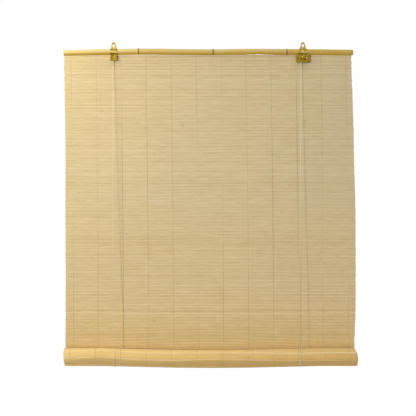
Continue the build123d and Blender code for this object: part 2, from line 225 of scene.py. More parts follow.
# The cane's outline, from its bored left end along the skin to the bored right end, turned about X
skin_rings = {}
skin_start = rod_low.x + rod_edge
skin_length = rod_high.x - rod_low.x - 2 * rod_edge
ring_count = round(skin_length / rod_ring_gap)
for ring in range(ring_count + 1):
    x = skin_start + skin_length * ring / ring_count
    if min(abs(x - joint) for joint in rod_joints) > joint_form[-1][0] + rod_ring_gap / 4:
        skin_rings[x] = (rod_r, 0.0)
for joint in rod_joints:
    for along, rise, dark in joint_form:
        skin_rings[joint + along] = (rod_r + rise * joint_rise, dark)
outline = [(rod_low.x + rod_bore_depth, 0.0, 0.0), (rod_low.x + rod_bore_depth, rod_bore_r, 0.0)]
outline += [(rod_low.x, rod_bore_r, 0.0), (rod_low.x, rod_r - rod_edge, 0.0)]
outline += [(x, *skin_rings[x]) for x in sorted(skin_rings)]
outline += [(rod_high.x, rod_r - rod_edge, 0.0), (rod_high.x, rod_bore_r, 0.0)]
outline += [(rod_high.x - rod_bore_depth, rod_bore_r, 0.0), (rod_high.x - rod_bore_depth, 0.0, 0.0)]
bm = bmesh.new()
scar_layer = bm.verts.layers.float.new("scar")
top_light_layer = bm.verts.layers.float.new("sunned")
last = None
for x, radius, dark in outline:
    vert = bm.verts.new((x, 0, radius))
    vert[scar_layer] = dark
    if last:
        bm.edges.new((last, vert))
    last = vert
bmesh.ops.spin(
    bm,
    geom=bm.verts[:] + bm.edges[:],
    cent=(0, 0, 0),
    axis=(1, 0, 0),
    angle=2 * pi,
    steps=rod_steps,
    use_merge=True,
)
bmesh.ops.remove_doubles(bm, verts=bm.verts[:], dist=rod_edge / 10)
# Each length between joints gets its own share of the painted highlight, most at the left
past_scar = 0.01
top_light_shares = [
    (rod_low.x, 0.9),
    (rod_joints[0], 0.75),
    (rod_joints[0] + past_scar, 0.45),
    (rod_joints[1], 0.4),
    (rod_joints[1] + past_scar, 0.45),
    (rod_joints[2], 0.4),
    (rod_joints[2] + past_scar, 0.1),
    (rod_high.x, 0.05),
]
# The painted highlight is full on the cane's upper side and gone underneath
top_light_slope = 0.8
top_light_level = 0.6
for vert in bm.verts:
    upper_side = ease(top_light_slope * vert.co.z / rod_r + top_light_level)
    vert[top_light_layer] = along_list(top_light_shares, vert.co.x)[0] * upper_side
    vert.co += Vector((0, rod_y, rod_z + rod_lift(vert.co.x)))
make_piece("cane_rod", bm, cane, "head", ["head_rod"])

# Hangers and housings: brass-plated steel sheet, stamped and folded, with a pointed eye tab above the rod,
# a half-round saddle over it and a flat plate below. They keep the CAD shape.
tarnish_size = 0.009
# Rolling marks of the sheet, drawn coarser than they are so that they show
mark_size = 0.0015


def plated_sheet(name, dull, bright):
    """Thin brass plating, satin where it is clean and darker and duller where it has tarnished."""
    material, shader = new_finish(name, Metallic=1.0)
    place = add_node(material, "ShaderNodeTexCoord").outputs["Object"]
    tarnish = add_node(
        material, "ShaderNodeTexNoise", {"Vector": place, "Scale": 1 / tarnish_size, "Detail": 5.0}
    )
    plating = add_node(
        material,
        "ShaderNodeMapRange",
        {"Value": tarnish.outputs["Fac"], "From Min": 0.35, "From Max": 0.65},
    )
    yellow = add_node(
        material,
        "ShaderNodeMix",
        {0: plating.outputs["Result"], 6: linear(dull), 7: linear(bright)},
        data_type="RGBA",
    )
    wear = add_node(
        material, "ShaderNodeMapRange", {"Value": plating.outputs["Result"], "To Min": 0.52, "To Max": 0.36}
    )
    marks = add_node(
        material, "ShaderNodeTexNoise", {"Vector": place, "Scale": 1 / mark_size, "Detail": 2.0}
    )
    dents = add_node(
        material, "ShaderNodeBump", {"Height": marks.outputs["Fac"], "Strength": 0.05, "Distance": 0.0002}
    )
    wire(
        material,
        shader,
        Base_Color=yellow.outputs[2],
        Roughness=wear.outputs["Result"],
        Normal=dents.outputs["Normal"],
    )
    return material


def dress(names, material):
    """Gives CAD nodes that keep their shape their finish."""
    for name in names:
        frame["nodes"][name].data.materials.clear()
        frame["nodes"][name].data.materials.append(material)


# The hangers are handled and stay paler; the folded housings below the rod have dulled to olive
dress(["left_hanger", "right_hanger"], plated_sheet("brass_plated_sheet", "#8B7730", "#C6AE5C"))
dress(["left_pulley_housing", "lock_housing"], plated_sheet("dulled_brass_sheet", "#6A5412", "#A28324"))

# Bolts, washers, nuts and rivets: small turned brass, brighter than the sheet because the heads are
# rubbed when the blind is put up. The wheels are turned brass too, polished by the cord.
turned, shader = new_finish("turned_brass", Metallic=1.0)
place = add_node(turned, "ShaderNodeTexCoord").outputs["Object"]
grit_size = 0.002
grit = add_node(turned, "ShaderNodeTexNoise", {"Vector": place, "Scale": 1 / grit_size, "Detail": 3.0})
bright = add_node(
    turned,
    "ShaderNodeMix",
    {0: grit.outputs["Fac"], 6: linear("#B9993A"), 7: linear("#E6CF86")},
    data_type="RGBA",
)
rubbed = add_node(
    turned,
    "ShaderNodeMapRange",
    {"Value": grit.outputs["Fac"], "From Min": 0.3, "From Max": 0.7, "To Min": 0.32, "To Max": 0.16},
)
wire(turned, shader, Base_Color=bright.outputs[2], Roughness=rubbed.outputs["Result"])
dress(["hanger_bolts", "hanger_washers", "hanger_nuts"], turned)
dress(["left_axle_rivet", "lock_axle_rivet", "lock_post"], turned)
dress(["left_pulley_wheel", "lock_pulley"], turned)

# Locking roller: fluted brass that sits in the dark inside the lock. It is never rubbed bright, so it has
# gone brown, and it is painted nearly black as the shade inside the lock, so that the leaning slot in front
# of it looks almost black.
browned_and_shaded, shader = new_finish("oxidised_brass", Metallic=1.0)
place = add_node(browned_and_shaded, "ShaderNodeTexCoord").outputs["Object"]
film_size = 0.0016
film = add_node(browned_and_shaded, "ShaderNodeTexNoise", {"Vector": place, "Scale": 1 / film_size, "Detail": 3.0})
brown_and_shaded = add_node(
    browned_and_shaded,
    "ShaderNodeMix",
    {0: film.outputs["Fac"], 6: linear("#1C160A"), 7: linear("#3C2F14")},
    data_type="RGBA",
)
dulled = add_node(
    browned_and_shaded, "ShaderNodeMapRange", {"Value": film.outputs["Fac"], "To Min": 0.75, "To Max": 0.55}
)
wire(browned_and_shaded, shader, Base_Color=brown_and_shaded.outputs[2], Roughness=dulled.outputs["Result"])
dress(["lock_roller"], browned_and_shaded)

# Reed mat: bamboo split by hand into flat splints that lie side by side across the whole width.
# Each was cut from its own piece of culm, so tone, sizes, straightness and ends all differ a little.
mat_low, mat_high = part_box("reed_mat")
mat_y = (mat_low.y + mat_high.y) / 2
mat_thickness = mat_high.y - mat_low.y
mat_width = mat_high.x - mat_low.x
mat_height = mat_high.z - mat_low.z
splint_count = 203
splint_step = mat_height / splint_count
splint_overlap = 0.0002
splint_flat_share = 0.84
splint_sides = 6
splint_rings = 9
splint_end_cut = 0.0008
thinnest_splint = 0.92
splint_height_spread = 0.02
splint_bow = 0.0001
mat_lean = 0.0085
# How far down, and where the splints' left and right ends are there, before the lean
mat_edges = [
    (0.0, -0.4490, 0.4452),
    (0.28, -0.4490, 0.4495),
    (0.55, -0.4515, 0.4520),
    (0.82, -0.4525, 0.4505),
    (1.0, -0.4535, 0.4460),
]
# Waves of the mat out of its plane, and of its splints up and down: size, length and slant
mat_buckle = 0.0022
buckle_length = 0.43
buckle_slant = 0.6
mat_sway = 0.0013
sway_length = 0.74
sway_slant = 1.1
cross_sway_slant = 2.3
# How far its head is drawn up to the cane, over what share of the drop, and how late it sags with the roll
mat_rise = 0.001
near_rod_share = 0.1
sag_power = 6
roll_turn = next(joint for joint in frame["joints"] if joint["name"] == "roll_turn")
roll_y, roll_z = roll_turn["pos_m"][1:]
roll_sag = 0.006
rng = Random(11)


def sag_of_roll(x):
    """How far the roll hangs down between its two cords."""
    across = x / (eye_spacing / 2)
    return -roll_sag * (1 - across * across) if abs(across) < 1 else 0.0


def hang(x, z):
    """How far the mat is from a flat sheet: leant, buckled, drawn up to the cane and down with the roll."""
    depth = (mat_high.z - z) / mat_height
    near_rod = ease(1 - depth / near_rod_share)
    free = sin(pi * min(max(depth, 0.0), 1.0))
    waves = sin(2 * pi * (x / buckle_length + buckle_slant * depth)) - 1
    sway = sin(2 * pi * (x / sway_length + sway_slant * depth))
    sway += sin(2 * pi * (2 * x / sway_length - cross_sway_slant * depth)) / 2
    drawn_up = near_rod * (rod_lift(x) + mat_rise)
    drawn_down = depth ** sag_power * sag_of_roll(x)
    return Vector(
        (
            mat_lean * sin(pi / 2 * min(depth, 1.0)),
            mat_buckle * free * waves,
            mat_sway * free * sway + drawn_up + drawn_down,
        )
    )


def drawn_out(sections, rings, sides):
    """Closed tubes side by side: x is the ring's number, y and z lie on the unit outline."""
    bm = bmesh.new()
    section_layer = bm.verts.layers.float.new("section")
    along_x = Matrix(((0, 0, 1), (1, 0, 0), (0, 1, 0))).to_4x4()
    from_zero = Matrix.Translation(((rings - 1) / 2, 0, 0))
    for section in range(sections):
        made = bmesh.ops.create_cone(
            bm,
            cap_ends=True,
            segments=sides,
            radius1=1,
            radius2=1,
            depth=rings - 1,
            matrix=from_zero @ along_x,
        )
        for vert in made["verts"]:
            vert[section_layer] = section
    long_edges = [edge for edge in bm.edges if edge.calc_length() > (rings - 1) / 2]
    bmesh.ops.subdivide_edges(bm, edges=long_edges, cuts=rings - 2, use_grid_fill=True)
    return bm, section_layer


def cut_splint(number, ends, gold):
    """One splint as it was cut, with its place in the mat and how golden the culm was there."""
    return {
        "number": number,
        "start": ends[0] + rng.uniform(-1, 1) * splint_end_cut,
        "end": ends[1] + rng.uniform(-1, 1) * splint_end_cut,
        "tone": rng.gauss(0, 1),
        "fade": 0.0,
        "gold": gold,
        "thick": rng.uniform(thinnest_splint, 1.0),
        "tall": rng.uniform(1 - splint_height_spread, 1 + splint_height_spread),
        "flat": splint_flat_share,
        "bow": rng.uniform(-splint_bow, splint_bow),
        "phase": rng.uniform(0, 2 * pi),
    }


def lay_splints(splints, frame_of):
    """Mesh of several splints: frame_of(place in the list, x) gives a middle, outward and upward."""
    bm, section_layer = drawn_out(len(splints), splint_rings, splint_sides)
    tone_layer = bm.verts.layers.float.new("tone")
    gold_layer = bm.verts.layers.float.new("gold")
    grain_layer = bm.verts.layers.float_vector.new("grain")
    half_thick = mat_thickness / 2 / cos(pi / splint_sides)
    half_tall = (splint_step + splint_overlap) / 2
    for vert in bm.verts:
        index = round(vert[section_layer])
        splint = splints[index]
        x = splint["start"] + (splint["end"] - splint["start"]) * round(vert.co.x) / (splint_rings - 1)
        out, up = vert.co.y, vert.co.z
        middle, outward, upward = frame_of(index, x)
        # The two points of the outline are the splint's edges; the four others bound its flat faces
        tall = splint["tall"] if abs(up) > 0.75 else splint["tall"] * 2 * splint["flat"]
        bow = splint["bow"] * sin(2 * pi * x / mat_width + splint["phase"])
        # A splint's painted falloff of light, where it has one, darkens it steadily along its length
        vert[tone_layer] = splint["tone"] + splint["fade"] * x
        vert[gold_layer] = splint["gold"]
        vert[grain_layer] = (x, up * half_tall, splint["number"])
        vert.co = (
            middle
            + outward * (out * half_thick * splint["thick"])
            + upward * (up * half_tall * tall + bow)
        )
    return bm


# Split bamboo: bare and matt, straw-cream with long fibres and no skin, more golden towards the foot,
# where the light has not bleached it; a short brown smudge where a splint crosses a joint of the culm.
bamboo, shader = new_finish("split_bamboo", Roughness=0.62, IOR=1.5)
grain = add_node(bamboo, "ShaderNodeAttribute", attribute_name="grain").outputs["Vector"]
tone = add_node(bamboo, "ShaderNodeAttribute", attribute_name="tone").outputs["Fac"]
gold = add_node(bamboo, "ShaderNodeAttribute", attribute_name="gold").outputs["Fac"]
unlike_next = 3.7
streak_length = 0.045
streak_place = add_node(
    bamboo,
    "ShaderNodeVectorMath",
    {0: grain, 1: (1 / streak_length, 0.0, unlike_next)},
    operation="MULTIPLY",
)
streak = add_node(
    bamboo, "ShaderNodeTexNoise", {"Vector": streak_place.outputs["Vector"], "Scale": 1.0, "Detail": 2.0}
)
splint_fibre_length = 0.03
splint_fibre_width = 0.0009
fibre_place = add_node(
    bamboo,
    "ShaderNodeVectorMath",
    {0: grain, 1: (1 / splint_fibre_length, 1 / splint_fibre_width, unlike_next)},
    operation="MULTIPLY",
)
fibre = add_node(
    bamboo, "ShaderNodeTexNoise", {"Vector": fibre_place.outputs["Vector"], "Scale": 1.0, "Detail": 2.0}
)
streaked = add_node(
    bamboo,
    "ShaderNodeMapRange",
    {"Value": streak.outputs["Fac"], "From Min": 0.3, "From Max": 0.7, "To Min": -1.6, "To Max": 1.6},
)
with_tone = add_node(
    bamboo,
    "ShaderNodeMath",
    {0: tone, 1: 0.6, 2: streaked.outputs["Result"]},
    operation="MULTIPLY_ADD",
)
with_fibre = add_node(
    bamboo,
    "ShaderNodeMath",
    {0: fibre.outputs["Fac"], 1: 1.4, 2: with_tone.outputs["Value"]},
    operation="MULTIPLY_ADD",
)
mellow = add_node(
    bamboo,
    "ShaderNodeMapRange",
    {"Value": with_fibre.outputs["Value"], "From Min": -5.5, "From Max": 7.0},
).outputs["Result"]
cream = add_node(
    bamboo,
    "ShaderNodeMix",
    {0: mellow, 6: linear("#D0B98B"), 7: linear("#F4E5C8")},
    data_type="RGBA",
)
honey = add_node(
    bamboo,
    "ShaderNodeMix",
    {0: mellow, 6: linear("#D0A03E"), 7: linear("#FBD57E")},
    data_type="RGBA",
)
straw = add_node(
    bamboo, "ShaderNodeMix", {0: gold, 6: cream.outputs[2], 7: honey.outputs[2]}, data_type="RGBA"
)
culm_joint_spacing = 0.3
smudge_length = 0.016
joint_place = add_node(
    bamboo,
    "ShaderNodeVectorMath",
    {0: grain, 1: (1 / culm_joint_spacing, 0.0, unlike_next)},
    operation="DOT_PRODUCT",
)
joints = add_node(
    bamboo,
    "ShaderNodeTexVoronoi",
    {"W": joint_place.outputs["Value"], "Scale": 1.0},
    voronoi_dimensions="1D",
)
near_joint = add_node(
    bamboo,
    "ShaderNodeMapRange",
    {
        "Value": joints.outputs["Distance"],
        "From Max": smudge_length / 2 / culm_joint_spacing,
        "To Min": 1.0,
        "To Max": 0.0,
    },
)
how_dark = add_node(
    bamboo,
    "ShaderNodeMapRange",
    {"Value": joints.outputs["Color"], "From Min": 0.7, "From Max": 1.0, "To Max": 0.4},
)
smudge = add_node(
    bamboo,
    "ShaderNodeMath",
    {0: near_joint.outputs["Result"], 1: how_dark.outputs["Result"]},
    operation="MULTIPLY",
)
jointed = add_node(
    bamboo,
    "ShaderNodeMix",
    {0: smudge.outputs["Value"], 6: straw.outputs[2], 7: linear("#A98A50")},
    data_type="RGBA",
)
raised = add_node(
    bamboo, "ShaderNodeBump", {"Height": fibre.outputs["Fac"], "Strength": 0.25, "Distance": 0.0003}
)
wire(bamboo, shader, Base_Color=jointed.outputs[2], Normal=raised.outputs["Normal"])

# The first splints under the cane stay where they hang and make a piece of their own; the rest make
# another.
head_splints = 12


def mat_frame(first):
    """Frames of the hanging splints, counted from one row of the mat."""

    def frame_of(index, x):
        z = mat_high.z - (first + index + 0.5) * splint_step
        return Vector((x, mat_y, z)) + hang(x, z), Vector((0, -1, 0)), Vector((0, 0, 1))

    return frame_of


# Shares of the drop where the mat turns more golden, over how much of it, and by how much
foot_golds = [(0.45, 0.2, 0.14), (0.72, 0.26, 0.27)]
# The lower splints differ more in tone, and the last rows, in the fold where the mat goes behind the roll,
# are darkened as painted shade
uneven_from = 0.6
uneven_reach = 0.3
uneven_more = 0.4
crease_shade_from = 0.96
crease_shade_reach = 0.012
crease_painted_shade = 7
splints = []
for row in range(splint_count):
    depth = row / splint_count
    foot_gold = sum(gold * ease((depth - start) / reach) for start, reach, gold in foot_golds)
    splint = cut_splint(row, along_list(mat_edges, depth), foot_gold)
    splint["tone"] *= 1 + uneven_more * ease((depth - uneven_from) / uneven_reach)
    # Painted shade in the fold above the roll
    splint["tone"] -= crease_painted_shade * ease((depth - crease_shade_from) / crease_shade_reach)
    splints.append(splint)
bm = lay_splints(splints[:head_splints], mat_frame(0))
make_piece("mat_head", bm, bamboo, "head", ["reed_mat"])
bm = lay_splints(splints[head_splints:], mat_frame(head_splints))
fall = make_piece("mat_fall", bm, bamboo, "head", ["reed_mat"])
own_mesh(fall)

# Warp threads: twelve doubled cotton threads. Each loops over the cane, and its two ends are twined round
# every splint, one in front and one behind, changing sides between splints.
warp_count = 12
warp_inset = 0.0191
thread_width = 0.0011
thread_thickness = 0.0006
thread_sides = 4
thread_rings = 4
loop_rings = 14
# Half turns round the cane, from where a loop starts at the mat's front
loop_start = 1.3
loop_reach = 1.6
warp_step = (mat_width - 2 * warp_inset) / (warp_count - 1)
warp_places = [-mat_width / 2 + warp_inset + i * warp_step for i in range(warp_count)]
twine_reach = mat_thickness / 2 + thread_thickness / 2

# Cotton thread: dull tan on the mat, which partly paints the shade in the gaps between the splints, with
# light and dark stretches where the twist is loose or tight. Over the cane the loops show their own pale
# cream.
cotton, shader = new_finish("cotton_thread", Roughness=0.85, IOR=1.5)
place = add_node(cotton, "ShaderNodeTexCoord").outputs["Object"]
twist_size = 0.0018
twist = add_node(cotton, "ShaderNodeTexNoise", {"Vector": place, "Scale": 1 / twist_size, "Detail": 2.0})
# Painted shade: the thread is darker on the mat than over the cane
spun_and_shaded = add_node(
    cotton,
    "ShaderNodeMix",
    {0: twist.outputs["Fac"], 6: linear("#A8925F"), 7: linear("#CDB784")},
    data_type="RGBA",
)
height = add_node(cotton, "ShaderNodeSeparateXYZ", {"Vector": place}).outputs["Z"]
on_cane = add_node(
    cotton,
    "ShaderNodeMapRange",
    {"Value": height, "From Min": mat_high.z, "From Max": rod_z, "To Max": 0.8},
)
pale_on_cane = add_node(
    cotton,
    "ShaderNodeMix",
    {0: on_cane.outputs["Result"], 6: spun_and_shaded.outputs[2], 7: linear("#F0E6CC")},
    data_type="RGBA",
)
wire(cotton, shader, Base_Color=pale_on_cane.outputs[2])


def twine(x, start, stop, side):
    """Points of one thread end along the hanging mat, from one row's top edge to another's."""
    points = []
    for step in range((stop - start) * thread_rings + 1):
        row = start + step / thread_rings
        z = mat_high.z - row * splint_step
        y = mat_y + side * twine_reach * sin(pi * row)
        points.append(Vector((x, y, z)) + hang(x, z))
    return points


def over_rod(x):
    """Points of the loop over the cane, from the mat's front up and round to its back."""
    points = []
    reach = rod_r + thread_thickness / 2
    for step in range(loop_rings + 1):
        turn = pi * (loop_start - loop_reach * step / loop_rings)
        z = rod_z + rod_lift(x) + reach * sin(turn)
        points.append(Vector((x, rod_y + reach * cos(turn), z)))
    return points


def lay_threads(paths):
    """Mesh of flat threads along paths that have equally many points."""
    bm, section_layer = drawn_out(len(paths), len(paths[0]), thread_sides)
    side = Vector((1, 0, 0))
    for vert in bm.verts:
        path = paths[round(vert[section_layer])]
        ring = round(vert.co.x)
        along = path[min(ring + 1, len(path) - 1)] - path[max(ring - 1, 0)]
        out = along.cross(side).normalized()
        across = side * (vert.co.y * thread_width / 2)
        vert.co = path[ring] + across + out * (vert.co.z * thread_thickness / 2)
    return bm


loops = []
for x in warp_places:
    front_end = twine(x, 0, head_splints, -1)
    back_end = twine(x, 0, head_splints, 1)
    loops.append(front_end[::-1] + over_rod(x) + back_end)
make_piece("warp_loops", lay_threads(loops), cotton, "head", ["warp_threads"])
ends = [twine(x, head_splints, splint_count, side) for x in warp_places for side in (-1, 1)]
warp_fall = make_piece("warp_fall", lay_threads(ends), cotton, "head", ["warp_threads"])
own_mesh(warp_fall)

# Rolled foot: the same splints wound round a thin cane, up the front, from the foot of the hanging mat.
# The turns have slid sideways over each other, so the ends are staggered, and the roll sags in the middle.
roll_low, roll_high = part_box("rolled_mat")
core_low, core_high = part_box("bottom_rod")
roll_length = roll_high.x - roll_low.x
roll_mid_r = mat_y - roll_y
turn_gap = 0.0006
core_gap = 0.0003
turn_pitch = mat_thickness + turn_gap
core_r = (core_high.z - core_low.z) / 2 + core_gap + mat_thickness / 2
turn_slide = 0.003
slide_start = 0.6
slide_speed = 0.9
rolled_flat_share = 0.7
# Painted shade: the rolled splints are darkened steadily towards the right
painted_roll_falloff = -11.0
# Places along the roll, and how far round it the splints have slid there, in radians, after a first turn
slant_turn = 3
roll_slant = [(-0.45, -0.05), (-0.36, 0.2), (-0.18, -0.1), (0.02, 0.1), (0.3, -0.25), (0.45, -0.2)]
turns = []
turn = splint_step / roll_mid_r / 2
radius = roll_mid_r
while radius > core_r:
    turns.append((turn, radius))
    turn += splint_step / radius
    radius = roll_mid_r - turn_pitch * turn / (2 * pi)


def on_roll(x, turn, radius):
    """A point of the roll, with its outward and upward directions; the splints slant along its length."""
    lag = ease(turn / slant_turn) * along_list(roll_slant, x)[0]
    outward = Vector((0, cos(turn + lag), -sin(turn + lag)))
    upward = Vector((0, sin(turn + lag), cos(turn + lag)))
    slide = mat_lean + turn_slide * (sin(slide_speed * turn + slide_start) - sin(slide_start))
    return Vector((x + slide, roll_y, roll_z + sag_of_roll(x))) + outward * radius, outward, upward


# The roll is golden; its top is painted brighter as a highlight, and the side that faces the floor is
# painted darker and duller as shade, with more uneven splints
rolled_gold = 0.7
painted_light_gold_loss = 0.25
gold_spread = 0.12
rolled_tone = 2
tone_spread = 2.5
painted_crown_highlight = 4
painted_under_shade = 12
# How soon a splint counts as underneath, or as on top, on its way round
under_slope = 3
under_level = 0.4
crown_slope = 2
crown_level = 0.8
rolled_end = roll_length / 2 - turn_slide
rolled = []
for row, (turn, radius) in enumerate(turns):
    under = ease(under_slope * sin(turn) + under_level)
    crown = ease(-crown_slope * sin(turn) - crown_level)
    gold = rolled_gold - painted_light_gold_loss * (under + crown) + gold_spread * rng.gauss(0, 1)
    splint = cut_splint(splint_count + row, (-rolled_end, rolled_end), gold)
    splint["tone"] *= tone_spread * (1 + under)
    # Painted highlight on the roll's top, painted shade on its underside
    splint["tone"] += rolled_tone + painted_crown_highlight * crown - painted_under_shade * under
    splint["fade"] = painted_roll_falloff
    splint["flat"] = rolled_flat_share
    rolled.append(splint)
bm = lay_splints(rolled, lambda index, x: on_roll(x, *turns[index]))
make_piece("rolled_foot", bm, bamboo, "roll", ["rolled_mat"])

# The warp threads go on round the outer turn of the roll.
roll_thread_splints = 44


def twine_on_roll(x, side):
    """Points of one thread end over the roll's outer splints."""
    points = []
    for step in range(roll_thread_splints * thread_rings + 1):
        row = step / thread_rings
        turn, radius = turns[int(row)]
        turn += (row - int(row) - 0.5) * splint_step / radius
        radius += side * twine_reach * sin(pi * (row + splint_count))
        points.append(on_roll(x, turn, radius)[0])
    return points


ends = [twine_on_roll(x, side) for x in warp_places for side in (-1, 1)]
make_piece("roll_threads", lay_threads(ends), cotton, "roll")

# Bottom rod: the thin cane that the mat is wound round, left whole.
# It is bent with the sagging roll and shows at the roll's two ends.
foot_cane_rings = 33
foot_cane_sides = 20
foot_cane_r = (core_high.z - core_low.z) / 2
bm = drawn_out(1, foot_cane_rings, foot_cane_sides)[0]
for vert in bm.verts:
    x = core_low.x + (core_high.x - core_low.x) * round(vert.co.x) / (foot_cane_rings - 1)
    around = Vector((0, vert.co.y, vert.co.z)) * foot_cane_r
    vert.co = Vector((x + mat_lean, roll_y, roll_z + sag_of_roll(x))) + around
make_piece("foot_cane", bm, cane, "roll", ["bottom_rod"])

# Lift cords: three-strand cotton cord. Each is tied behind the cane, goes down the back, under the roll
# and up the front to its wheel. The left one goes on under the cane to the lock, where both are knotted.
cord_d = 0.0018
strand_pitch = 0.0038
cord_sides = 12
rings_per_strand = 4
# Depth of the grooves, and the share of it at which the cord has its plain radius
strand_depth = 0.16
strand_level = 0.3
wheel_z = -0.0365
cord_top_z = -0.03165
rear_groove_y = -0.0026
front_groove_y = -0.00585
left_cord_x = -0.29625
right_cord_x = 0.28735
left_sling_x = -0.287
right_sling_x = 0.28
sling_r = 0.0302
tie_y = 0.015325
tie_bottom = -0.02735
left_groove = (left_cord_x, rear_groove_y, wheel_z)
right_groove = (right_cord_x, front_groove_y, wheel_z)
left_knot = (left_eye_x, tie_y, tie_bottom)
right_knot = (right_eye_x, tie_y, tie_bottom)

# Cotton cord: off-white and matt, each strand darkened in the groove between it and the next as painted
# shade.
# It is painted darker as shade above the roll and where it runs under the cane, and less round the roll.
# Heights, and how far it is painted darker there
cord_shade_by_height = [
    (-0.955, 0.1),
    (-0.935, 0.75),
    (-0.78, 0.75),
    (-0.55, 0.3),
    (-0.25, 0.0),
    (-0.04, 0.0),
    (-0.034, 0.45),
]
# Places across the blind, and the share of that painted shade there: the right cord, at the lock, gets most
cord_shade_across = [(-0.3, 0.4), (0.3, 1.0)]
cord, shader = new_finish("cotton_cord", Roughness=0.8, IOR=1.5)
groove = add_node(cord, "ShaderNodeAttribute", attribute_name="groove").outputs["Fac"]
place = add_node(cord, "ShaderNodeTexCoord").outputs["Object"]
fluff_size = 0.0009
fluff = add_node(cord, "ShaderNodeTexNoise", {"Vector": place, "Scale": 1 / fluff_size, "Detail": 2.0})
yarn = add_node(
    cord,
    "ShaderNodeMix",
    {0: fluff.outputs["Fac"], 6: linear("#F8F1DF"), 7: linear("#FFFDF6")},
    data_type="RGBA",
)
strands = add_node(
    cord, "ShaderNodeMix", {0: groove, 6: yarn.outputs[2], 7: linear("#EADFC3")}, data_type="RGBA"
)
yellowed = add_node(cord, "ShaderNodeAttribute", attribute_name="yellowed")
cord_with_painted_shade = add_node(
    cord,
    "ShaderNodeMix",
    {0: yellowed.outputs["Fac"], 6: strands.outputs[2], 7: linear("#A68D55")},
    data_type="RGBA",
)
wire(cord, shader, Base_Color=cord_with_painted_shade.outputs[2])


def smooth_line(route):
    """Points read evenly along the smooth spline of a route, and the spline's length."""
    curve = bpy.data.curves.new("route", "CURVE")
    curve.dimensions = "3D"
    spline = curve.splines.new("NURBS")
    spline.points.add(len(route) - 1)
    for point, place in zip(spline.points, route):
        point.co = (*place, 1)
    spline.order_u = 3
    spline.use_endpoint_u = True
    spline.resolution_u = 24
    drawn = bpy.data.objects.new("route", curve)
    mesh = bpy.data.meshes.new_from_object(drawn)
    line = [vert.co.copy() for vert in mesh.vertices]
    bpy.data.objects.remove(drawn)
    bpy.data.curves.remove(curve)
    bpy.data.meshes.remove(mesh)
    reach = [0.0]
    for start, end in zip(line, line[1:]):
        reach.append(reach[-1] + (end - start).length)
    count = round(reach[-1] / strand_pitch * rings_per_strand)
    points = []
    span = 0
    for i in range(count + 1):
        at = reach[-1] * i / count
        while span < len(line) - 2 and reach[span + 1] < at:
            span += 1
        share = (at - reach[span]) / (reach[span + 1] - reach[span])
        points.append(line[span].lerp(line[span + 1], share))
    return points, reach[-1]


def lay_cord(name, route, body, nodes):
    """One laid cord along a route: three strands twisted about its middle line."""
    path, length = smooth_line(route)
    bm = drawn_out(1, len(path), cord_sides)[0]
    groove_layer = bm.verts.layers.float.new("groove")
    cord_shade_layer = bm.verts.layers.float.new("yellowed")
    frames = []
    side = (path[1] - path[0]).orthogonal()
    for ring in range(len(path)):
        along = (path[min(ring + 1, len(path) - 1)] - path[max(ring - 1, 0)]).normalized()
        side = (side - along * side.dot(along)).normalized()
        frames.append((side, along.cross(side)))
    for vert in bm.verts:
        ring = round(vert.co.x)
        across, upward = frames[ring]
        around = atan2(vert.co.z, vert.co.y)
        # The outline is full at each of the three strands, hollow between them, and turns along the cord
        twist = 2 * pi * ring / rings_per_strand
        hollow = 0.5 - 0.5 * cos(3 * around - twist)
        radius = cord_d / 2 * (1 - strand_depth * (hollow - strand_level))
        vert[groove_layer] = hollow
        # Painted shade along the cord, by height and across the blind
        shade_across = along_list(cord_shade_across, path[ring].x)[0]
        vert[cord_shade_layer] = shade_across * along_list(cord_shade_by_height, path[ring].z)[0]
        vert.co = path[ring] + (across * cos(around) + upward * sin(around)) * radius
    return make_piece(name, bm, cord, body, nodes), path, length


# Each cord's end is looped round its bolt behind the cane and whipped below it.
bolt_loop_r = 0.00295
loop_points = 12
whip_r = 0.0012
whip_flatness = 0.3
whip_turns = 3
whip_points = 8
ties = []
for name, node, x in (
    ("tie_left", "left_cord_tie", left_eye_x),
    ("tie_right", "right_cord_tie", right_eye_x),
):
    route = []
    whip_height = rod_z - bolt_loop_r - tie_bottom - cord_d
    for step in range(whip_turns * whip_points + 1):
        turn = 2 * pi * step / whip_points
        z = tie_bottom + cord_d / 2 + whip_height * step / (whip_turns * whip_points)
        route.append((x + whip_r * sin(turn), tie_y - whip_r * cos(turn) * whip_flatness, z))
    for step in range(loop_points + 1):
        turn = -pi / 2 + 2 * pi * step / loop_points
        route.append((x + bolt_loop_r * cos(turn), tie_y, rod_z + bolt_loop_r * sin(turn)))
    ties.append(lay_cord(name, route, "head", [node])[0])

# The front runs bow forwards a little, so that they clear the roll when it is drawn up under the wheels
front_belly = 0.008
belly_share = 0.13
six_diameters = 6 * cord_d


def tight_route(top, bottom, belly):
    """Route of a tight run, with a point six diameters from each end and one that bows it forwards."""
    top, bottom = Vector(top), Vector(bottom)
    near_end = (bottom - top).normalized() * six_diameters
    route = [top, top + near_end, bottom - near_end, bottom]
    if belly:
        route.insert(2, bottom.lerp(top, belly_share) - Vector((0, belly, 0)))
    return route


runs = [
    ("front_cord_left", "left_cord_front", left_groove, left_sling_x, -1, []),
    ("front_cord_right", "right_cord_front", right_groove, right_sling_x, -1, []),
    ("back_cord_left", "left_cord_back", left_knot, left_sling_x, 1, ties[:1]),
    ("back_cord_right", "right_cord_back", right_knot, right_sling_x, 1, ties[1:]),
]
for name, node, top, sling_x, side, tied in runs:
    belly = front_belly if side < 0 else 0.0
    route = tight_route(top, (sling_x, roll_y + side * sling_r, roll_z), belly)
    piece, path, length = lay_cord(name, route, "head", [node])
    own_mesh(piece)

